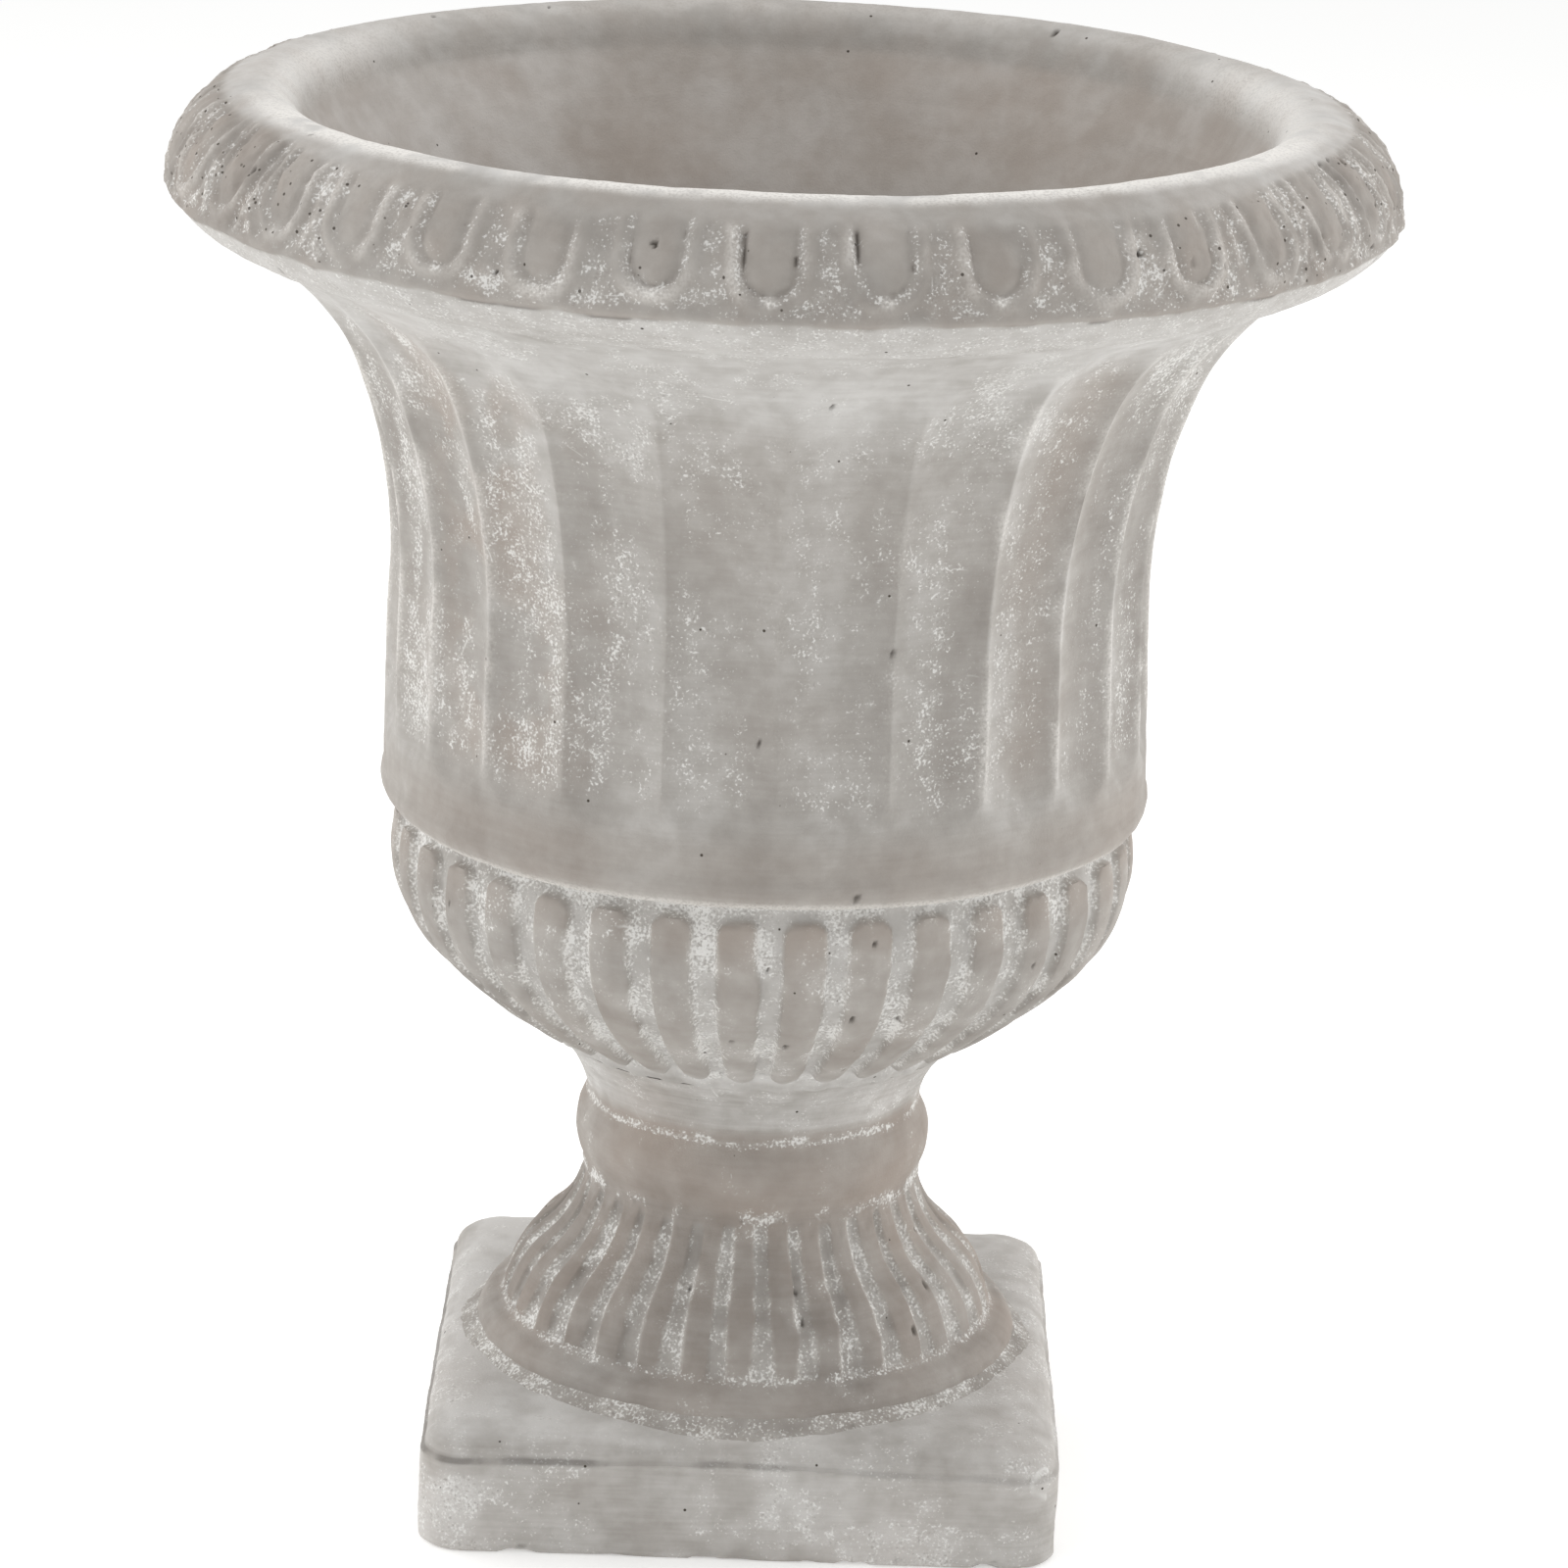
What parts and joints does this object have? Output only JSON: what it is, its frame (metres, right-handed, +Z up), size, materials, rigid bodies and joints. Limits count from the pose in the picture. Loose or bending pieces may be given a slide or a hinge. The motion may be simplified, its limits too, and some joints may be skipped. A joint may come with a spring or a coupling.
{
  "type": "footed concrete planter urn",
  "caption": "Footed garden urn in weathered fibre cement: hollow bowl with rolled rim, fluted drum and gadrooned base on a fluted foot and square plinth, with a plugged drain.",
  "frame": {"origin": "middle of the plinth's underside, on the ground", "axes": "+Z up along the urn's axis, front towards -Y, +X to the right"},
  "size_m": [0.2724, 0.2724, 0.32],
  "materials": {
    "fibre_cement": "cast, weathered, matt",
    "mortar": "sandy mortar, matt",
    "galvanised_steel": "galvanised, dull",
    "black_rubber": "moulded, matt"
  },
  "bodies": {
    "urn": {"plinth": "fibre_cement", "foot": "fibre_cement", "bowl": "fibre_cement", "foot_bed": "mortar", "bowl_bed": "mortar", "drain_tube": "galvanised_steel", "top_washer": "galvanised_steel", "top_nut": "galvanised_steel", "bottom_washer": "galvanised_steel", "bottom_nut": "galvanised_steel", "seal_washer": "black_rubber"},
    "plug": {"drain_plug": "black_rubber"}
  },
  "joints": [
    {"name": "drain_plug_lift", "type": "slide", "parent": "urn", "child": "plug", "axis": [0, 0, 1], "range_m": [0, 0.04]}
  ]
}
